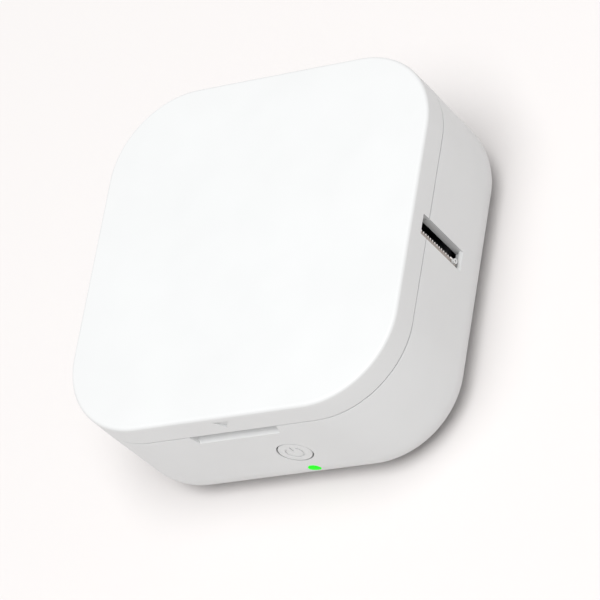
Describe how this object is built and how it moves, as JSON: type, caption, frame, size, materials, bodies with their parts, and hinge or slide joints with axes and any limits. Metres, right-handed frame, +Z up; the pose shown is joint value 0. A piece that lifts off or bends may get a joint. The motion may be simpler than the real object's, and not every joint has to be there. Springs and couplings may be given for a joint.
{
  "type": "portable label printer",
  "caption": "Rounded square pocket label printer with a rear-hinged lid over a label well, front power button, status lamp, side exit slot with tear blade.",
  "frame": {"origin": "centre of the flat underside, on the surface that the printer stands on", "axes": "+Z up through the lid; -Y the front with the power button and finger notch; +X the side where the label comes out; +Y the hinge side"},
  "size_m": [0.08, 0.082, 0.0335],
  "materials": {
    "white_plastic": "fine matte moulded ABS, white",
    "button_plastic": "fine matte moulded ABS, white",
    "liner_plastic": "moulded ABS, white, plain inside face",
    "frame_plastic": "moulded ABS, pale grey",
    "black_plastic": "black moulded nylon",
    "ivory_plastic": "ivory nylon connector housings",
    "acetal": "natural acetal gears",
    "green_lens": "green clear acrylic light pipe, lit",
    "led_white": "epoxy LED package",
    "green_board": "glass-epoxy circuit board with green solder mask",
    "battery_foil": "aluminium laminate pouch",
    "red_lead": "PVC insulated lead",
    "amber_ribbon": "polyimide flexible circuit",
    "steel": "turned and plated steel",
    "zinc_steel": "zinc-plated sheet steel",
    "blade_steel": "thin stamped stainless steel",
    "nickel": "nickel-plated shells",
    "bare_aluminium": "bare machined aluminium",
    "head_ceramic": "glazed alumina substrate",
    "brass": "turned brass pinion",
    "black_rubber": "ground silicone rubber",
    "label_paper": "coated thermal label tape",
    "core_card": "wound card core"
  },
  "bodies": {
    "housing": {"base_shell": "white_plastic", "inner_frame": "frame_plastic", "hinge_pin": "steel", "light_pipe": "green_lens", "status_led": "led_white", "tact_switch": "black_plastic", "button_board": "green_board", "main_board": "green_board", "sensor_board": "green_board", "label_sensor": "black_plastic", "board_chips": "black_plastic", "board_connectors": "ivory_plastic", "board_screws": "steel", "frame_screws": "steel", "plate_screws": "steel", "motor_screws": "steel", "usb_socket": "nickel", "radio_module": "nickel", "battery": "battery_foil", "battery_leads": "red_lead", "head_ribbon": "amber_ribbon", "motor_ribbon": "amber_ribbon", "mechanism_plate": "zinc_steel", "mechanism_bracket": "zinc_steel", "platen_bushes": "black_plastic", "idler_axle": "steel", "drive_motor": "zinc_steel", "head_pivot_pin": "steel", "head_spring": "steel", "tear_blade": "blade_steel", "blade_stud": "white_plastic"},
    "lid": {"lid_shell": "white_plastic", "lid_liner": "liner_plastic"},
    "button": {"power_button": "button_plastic", "switch_plunger": "black_plastic"},
    "platen": {"platen_shaft": "steel", "platen_roller": "black_rubber", "platen_gear": "acetal"},
    "idler": {"idler_gear": "acetal"},
    "rotor": {"motor_shaft": "steel", "motor_pinion": "brass"},
    "label_roll": {"label_tape": "label_paper", "roll_core": "core_card"},
    "print_head": {"heat_sink": "bare_aluminium", "thermal_head": "head_ceramic"}
  },
  "joints": [
    {"name": "lid_hinge", "type": "hinge", "parent": "housing", "child": "lid", "pos_m": [0, 0.0388, 0.0271], "axis": [-1, 0, 0], "range_deg": [0, 95]},
    {"name": "button_press", "type": "slide", "parent": "housing", "child": "button", "axis": [0, 1, 0], "range_m": [0, 0.0004], "stiffness_N_per_m": 1500, "springref_m": -0.0004},
    {"name": "platen_spin", "type": "hinge", "parent": "housing", "child": "platen", "pos_m": [0.0275, -0.0037, 0.02], "axis": [0, 0, 1], "continuous": true},
    {"name": "idler_spin", "type": "hinge", "parent": "housing", "child": "idler", "pos_m": [0.022, -0.00951, 0.008], "axis": [0, 0, 1], "continuous": true},
    {"name": "motor_spin", "type": "hinge", "parent": "housing", "child": "rotor", "pos_m": [0.0225, -0.0195, 0.008], "axis": [0, 0, 1], "continuous": true},
    {"name": "roll_spin", "type": "hinge", "parent": "housing", "child": "label_roll", "pos_m": [-0.011, 0.002, 0.02], "axis": [0, 0, 1], "continuous": true},
    {"name": "head_swing", "type": "hinge", "parent": "housing", "child": "print_head", "pos_m": [0.0185, 0.0045, 0.02], "axis": [0, 0, 1], "range_deg": [0, 5], "stiffness_Nm_per_rad": 0.5, "springref_deg": -2.86, "deforming": ["head_spring"]}
  ],
  "couplings": [
    {"joint": "idler_spin", "follows": "platen_spin", "ratio": -1.6667},
    {"joint": "motor_spin", "follows": "platen_spin", "ratio": 3.8889}
  ]
}
